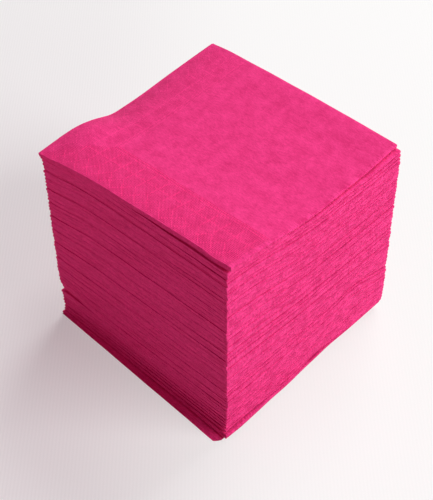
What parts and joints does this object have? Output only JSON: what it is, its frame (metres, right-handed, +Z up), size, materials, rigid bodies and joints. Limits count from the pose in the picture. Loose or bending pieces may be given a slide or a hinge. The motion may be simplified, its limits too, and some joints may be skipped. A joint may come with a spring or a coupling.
{
  "type": "stack of paper napkins",
  "caption": "Square stack of magenta tissue napkins, each folded in four, with an embossed border on the top one.",
  "frame": {"origin": "middle of the stack's bounding box, on the surface it stands on", "axes": "+Z up through the stack; +X towards the face with one rounded fold nose per napkin, +Y towards the face with the first folds, -X and -Y towards the free sheet edges"},
  "size_m": [0.131, 0.1318, 0.1189],
  "materials": {
    "magenta_tissue": "soft matt creped tissue, dyed magenta through its thickness"
  },
  "bodies": {
    "root": {"napkin_01": "magenta_tissue", "napkin_02": "magenta_tissue", "napkin_03": "magenta_tissue", "napkin_04": "magenta_tissue", "napkin_05": "magenta_tissue", "napkin_06": "magenta_tissue", "napkin_07": "magenta_tissue", "napkin_08": "magenta_tissue", "napkin_09": "magenta_tissue", "napkin_10": "magenta_tissue", "napkin_11": "magenta_tissue", "napkin_12": "magenta_tissue", "napkin_13": "magenta_tissue", "napkin_14": "magenta_tissue", "napkin_15": "magenta_tissue", "napkin_16": "magenta_tissue", "napkin_17": "magenta_tissue", "napkin_18": "magenta_tissue", "napkin_19": "magenta_tissue", "napkin_20": "magenta_tissue", "napkin_21": "magenta_tissue", "napkin_22": "magenta_tissue", "napkin_23": "magenta_tissue", "napkin_24": "magenta_tissue", "napkin_25": "magenta_tissue", "napkin_26": "magenta_tissue", "napkin_27": "magenta_tissue", "napkin_28": "magenta_tissue", "napkin_29": "magenta_tissue", "napkin_30": "magenta_tissue", "napkin_31": "magenta_tissue", "napkin_32": "magenta_tissue", "napkin_33": "magenta_tissue", "napkin_34": "magenta_tissue", "napkin_35": "magenta_tissue", "napkin_36": "magenta_tissue", "napkin_37": "magenta_tissue", "napkin_38": "magenta_tissue", "napkin_39": "magenta_tissue", "napkin_40": "magenta_tissue", "napkin_41": "magenta_tissue", "napkin_42": "magenta_tissue", "napkin_43": "magenta_tissue", "napkin_44": "magenta_tissue", "napkin_45": "magenta_tissue", "napkin_46": "magenta_tissue", "napkin_47": "magenta_tissue", "napkin_48": "magenta_tissue", "napkin_49": "magenta_tissue", "napkin_50": "magenta_tissue"}
  },
  "joints": []
}
